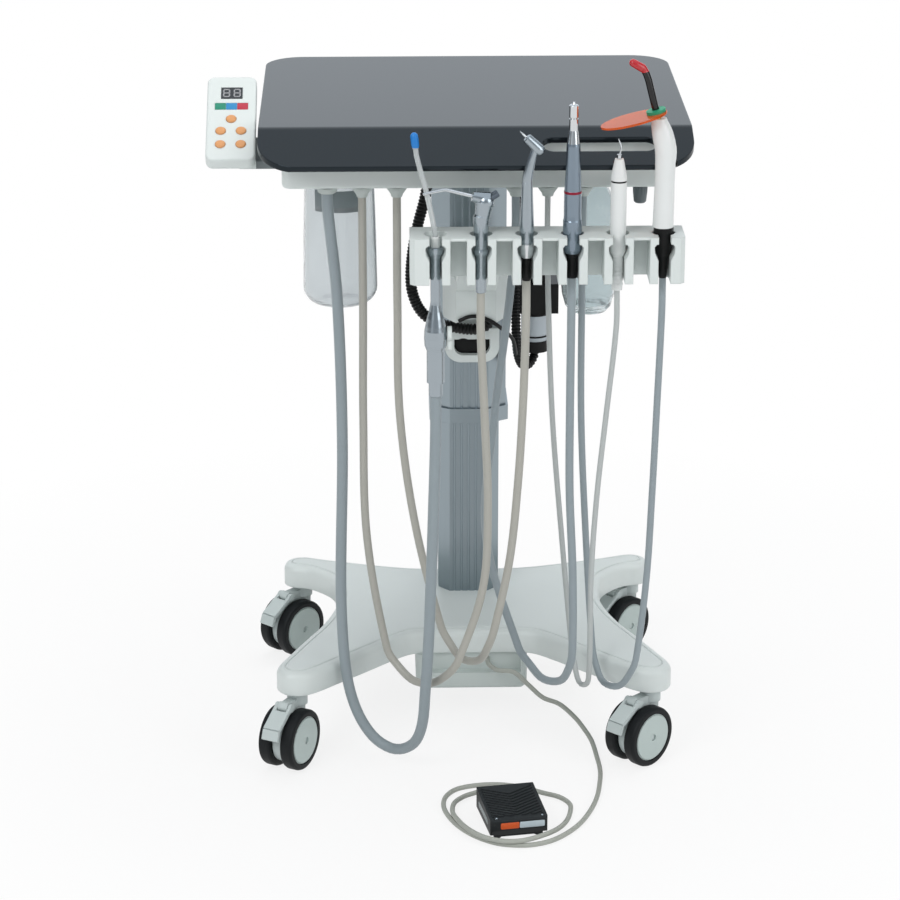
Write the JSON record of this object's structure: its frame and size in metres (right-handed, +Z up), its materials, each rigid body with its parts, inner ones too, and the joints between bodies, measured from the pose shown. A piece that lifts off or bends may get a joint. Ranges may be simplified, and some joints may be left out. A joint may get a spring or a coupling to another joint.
{
  "type": "portable dental unit",
  "caption": "Wheeled dental treatment cart: lifting column, glass tray, hanging handpieces on hoses, bottles, control panel and foot pedal.",
  "frame": {"origin": "on the floor under the middle of the outline of the cart and its pedal, without the pedal's cable", "axes": "+X to the cart's right seen from the user, +Y to the back, +Z up"},
  "size_m": [0.5566, 0.6206, 0.8846],
  "materials": {
    "white_moulding": "injection-moulded ABS, satin",
    "pale_moulding": "injection-moulded ABS, matt",
    "column_aluminium": "extruded aluminium, satin anodised",
    "spindle_steel": "turned steel",
    "caster_white": "glass-filled nylon",
    "caster_tyre": "moulded polyurethane tread on a pale nylon hub",
    "tray_glass": "toughened glass, black tint, polished",
    "display": "smoked acrylic window",
    "button_tan": "moulded silicone key",
    "gland_grey": "moulded elastomer",
    "jar_clear": "blown clear polycarbonate",
    "pet_clear": "blown clear PET",
    "knob_grey": "moulded nylon",
    "conduit_black": "corrugated conduit",
    "regulator_black": "moulded acetal head, pale bowl",
    "hose_grey": "extruded silicone hose",
    "hose_beige": "extruded silicone hose",
    "cable_grey": "PVC-sheathed cable",
    "handpiece_metal": "turned brass, satin chromed",
    "tip_clear": "clear tube",
    "lever_white": "moulded acetal",
    "tool_steel": "stainless steel, polished",
    "syringe_keys": "moulded acetal keys",
    "handpiece_white": "moulded sleeve",
    "guide_black": "sheathed glass light guide",
    "shield_orange": "orange filter plastic",
    "switch_black": "moulded switch cap",
    "pedal_black": "moulded ABS"
  },
  "bodies": {
    "stand": {"base_moulding": "white_moulding", "base_box": "pale_moulding", "column_lower": "column_aluminium", "lift_spindle": "spindle_steel", "pedal_base": "pedal_black", "pedal_cable": "cable_grey"},
    "pedal_plate": {"pedal_plate": "pedal_black"},
    "caster_front_left": {"caster_front_left": "caster_white"},
    "wheels_front_left": {"wheels_front_left": "caster_tyre"},
    "brake_front_left": {"brake_front_left": "caster_white"},
    "caster_front_right": {"caster_front_right": "caster_white"},
    "wheels_front_right": {"wheels_front_right": "caster_tyre"},
    "brake_front_right": {"brake_front_right": "caster_white"},
    "caster_rear_left": {"caster_rear_left": "caster_white"},
    "wheels_rear_left": {"wheels_rear_left": "caster_tyre"},
    "brake_rear_left": {"brake_rear_left": "caster_white"},
    "caster_rear_right": {"caster_rear_right": "caster_white"},
    "wheels_rear_right": {"wheels_rear_right": "caster_tyre"},
    "brake_rear_right": {"brake_rear_right": "caster_white"},
    "lift": {"column_upper": "column_aluminium", "casing": "white_moulding", "tray_glass": "tray_glass", "panel_body": "white_moulding", "panel_display": "display", "hose_glands": "gland_grey", "suction_bottle": "jar_clear", "water_bottle": "pet_clear", "arm_bracket": "white_moulding", "ring_handle": "white_moulding", "holder_rail": "white_moulding", "ribbed_conduit": "conduit_black", "filter_regulator": "regulator_black", "hose_suction": "hose_grey", "hose_syringe": "hose_beige", "hose_highspeed": "hose_beige", "hose_lowspeed": "hose_grey", "hose_scaler": "hose_grey", "hose_light": "hose_grey"},
    "panel_button_1": {"panel_button_1": "button_tan"},
    "panel_button_2": {"panel_button_2": "button_tan"},
    "panel_button_3": {"panel_button_3": "button_tan"},
    "panel_button_4": {"panel_button_4": "button_tan"},
    "panel_button_5": {"panel_button_5": "button_tan"},
    "flow_knob": {"flow_knob": "knob_grey"},
    "suction": {"suction_handpiece": "handpiece_metal", "suction_tip": "tip_clear"},
    "suction_lever": {"suction_lever": "lever_white"},
    "syringe": {"syringe_body": "handpiece_metal"},
    "syringe_nozzle": {"syringe_nozzle": "tool_steel"},
    "syringe_air": {"syringe_button_air": "syringe_keys"},
    "syringe_water": {"syringe_button_water": "syringe_keys"},
    "highspeed": {"highspeed_handpiece": "handpiece_metal"},
    "bur": {"highspeed_bur": "tool_steel"},
    "lowspeed": {"lowspeed_handpiece": "handpiece_metal"},
    "scaler": {"scaler_body": "handpiece_white", "scaler_tip": "tool_steel"},
    "light": {"light_body": "handpiece_white"},
    "light_guide": {"light_guide": "guide_black", "light_shield": "shield_orange"},
    "light_button": {"light_button": "switch_black"}
  },
  "joints": [
    {"name": "column_lift", "type": "slide", "parent": "stand", "child": "lift", "axis": [0, 0, 1], "range_m": [0, 0.16]},
    {"name": "swivel_front_left", "type": "hinge", "parent": "stand", "child": "caster_front_left", "pos_m": [-0.18375, -0.072, 0.085], "axis": [0, 0, 1], "continuous": true},
    {"name": "roll_front_left", "type": "hinge", "parent": "caster_front_left", "child": "wheels_front_left", "pos_m": [-0.19359, -0.08998, 0.0375], "axis": [0.8771, -0.4802, 0], "continuous": true},
    {"name": "brake_press_front_left", "type": "hinge", "parent": "caster_front_left", "child": "brake_front_left", "pos_m": [-0.19864, -0.09919, 0.081], "axis": [0.8771, -0.4802, 0], "range_deg": [0, 6]},
    {"name": "swivel_front_right", "type": "hinge", "parent": "stand", "child": "caster_front_right", "pos_m": [0.24425, -0.072, 0.085], "axis": [0, 0, 1], "continuous": true},
    {"name": "roll_front_right", "type": "hinge", "parent": "caster_front_right", "child": "wheels_front_right", "pos_m": [0.22975, -0.0865, 0.0375], "axis": [0.7071, -0.7071, 0], "continuous": true},
    {"name": "brake_press_front_right", "type": "hinge", "parent": "caster_front_right", "child": "brake_front_right", "pos_m": [0.22233, -0.09392, 0.081], "axis": [0.7071, -0.7071, 0], "range_deg": [0, 6]},
    {"name": "swivel_rear_left", "type": "hinge", "parent": "stand", "child": "caster_rear_left", "pos_m": [-0.18375, 0.273, 0.085], "axis": [0, 0, 1], "continuous": true},
    {"name": "roll_rear_left", "type": "hinge", "parent": "caster_rear_left", "child": "wheels_rear_left", "pos_m": [-0.19786, 0.25813, 0.0375], "axis": [0.7254, -0.6884, 0], "continuous": true},
    {"name": "brake_press_rear_left", "type": "hinge", "parent": "caster_rear_left", "child": "brake_rear_left", "pos_m": [-0.20509, 0.25051, 0.081], "axis": [0.7254, -0.6884, 0], "range_deg": [0, 6]},
    {"name": "swivel_rear_right", "type": "hinge", "parent": "stand", "child": "caster_rear_right", "pos_m": [0.24425, 0.273, 0.085], "axis": [0, 0, 1], "continuous": true},
    {"name": "roll_rear_right", "type": "hinge", "parent": "caster_rear_right", "child": "wheels_rear_right", "pos_m": [0.22975, 0.2585, 0.0375], "axis": [0.7071, -0.7071, 0], "continuous": true},
    {"name": "brake_press_rear_right", "type": "hinge", "parent": "caster_rear_right", "child": "brake_rear_right", "pos_m": [0.22233, 0.25108, 0.081], "axis": [0.7071, -0.7071, 0], "range_deg": [0, 6]},
    {"name": "press_panel_button_1", "type": "slide", "parent": "lift", "child": "panel_button_1", "axis": [0, 0.5299, -0.848], "range_m": [0, 0.001], "stiffness_N_per_m": 900, "springref_m": -0.0005},
    {"name": "press_panel_button_2", "type": "slide", "parent": "lift", "child": "panel_button_2", "axis": [0, 0.5299, -0.848], "range_m": [0, 0.001], "stiffness_N_per_m": 900, "springref_m": -0.0005},
    {"name": "press_panel_button_3", "type": "slide", "parent": "lift", "child": "panel_button_3", "axis": [0, 0.5299, -0.848], "range_m": [0, 0.001], "stiffness_N_per_m": 900, "springref_m": -0.0005},
    {"name": "press_panel_button_4", "type": "slide", "parent": "lift", "child": "panel_button_4", "axis": [0, 0.5299, -0.848], "range_m": [0, 0.001], "stiffness_N_per_m": 900, "springref_m": -0.0005},
    {"name": "press_panel_button_5", "type": "slide", "parent": "lift", "child": "panel_button_5", "axis": [0, 0.5299, -0.848], "range_m": [0, 0.001], "stiffness_N_per_m": 900, "springref_m": -0.0005},
    {"name": "turn_flow_knob", "type": "hinge", "parent": "lift", "child": "flow_knob", "pos_m": [0.22125, -0.049, 0.71], "axis": [0, 0, 1], "range_deg": [0, 270]},
    {"name": "lift_out_suction", "type": "slide", "parent": "lift", "child": "suction", "axis": [0, 0, 1], "range_m": [0, 0.018]},
    {"name": "lift_out_syringe", "type": "slide", "parent": "lift", "child": "syringe", "axis": [0, 0, 1], "range_m": [0, 0.06]},
    {"name": "lift_out_highspeed", "type": "slide", "parent": "lift", "child": "highspeed", "axis": [0, 0, 1], "range_m": [0, 0.06]},
    {"name": "lift_out_lowspeed", "type": "slide", "parent": "lift", "child": "lowspeed", "axis": [0, 0, 1], "range_m": [0, 0.06]},
    {"name": "lift_out_scaler", "type": "slide", "parent": "lift", "child": "scaler", "axis": [0, 0, 1], "range_m": [0, 0.015]},
    {"name": "lift_out_light", "type": "slide", "parent": "lift", "child": "light", "axis": [0, 0, 1], "range_m": [0, 0.06]},
    {"name": "turn_suction_valve", "type": "hinge", "parent": "suction", "child": "suction_lever", "pos_m": [-0.00325, -0.149, 0.567], "axis": [1, 0, 0], "range_deg": [-90, 0]},
    {"name": "turn_syringe_nozzle", "type": "hinge", "parent": "syringe", "child": "syringe_nozzle", "pos_m": [0.02831, -0.14984, 0.7279], "axis": [-0.9525, -0.1339, 0.2737], "range_deg": [0, 180]},
    {"name": "press_syringe_air", "type": "slide", "parent": "syringe", "child": "syringe_air", "axis": [-0.8576, -0.1205, -0.5], "range_m": [0, 0.001], "stiffness_N_per_m": 600, "springref_m": -0.0005},
    {"name": "press_syringe_water", "type": "slide", "parent": "syringe", "child": "syringe_water", "axis": [-0.8576, -0.1205, -0.5], "range_m": [0, 0.001], "stiffness_N_per_m": 600, "springref_m": -0.0005},
    {"name": "spin_bur", "type": "hinge", "parent": "highspeed", "child": "bur", "pos_m": [0.08465, -0.149, 0.7957], "axis": [0.7169, 0, -0.6972], "continuous": true},
    {"name": "turn_light_guide", "type": "hinge", "parent": "light", "child": "light_guide", "pos_m": [0.23205, -0.149, 0.812], "axis": [-0.2463, 0, 0.9692], "range_deg": [-120, 120]},
    {"name": "press_light_button", "type": "slide", "parent": "light", "child": "light_button", "axis": [-1, 0, 0], "range_m": [0, 0.0008], "stiffness_N_per_m": 600, "springref_m": -0.0005},
    {"name": "press_pedal", "type": "hinge", "parent": "stand", "child": "pedal_plate", "pos_m": [0.06285, -0.21952, 0.01], "axis": [0.9848, 0.1736, 0], "range_deg": [0, 2.5], "stiffness_Nm_per_rad": 6, "springref_deg": -5.73}
  ]
}
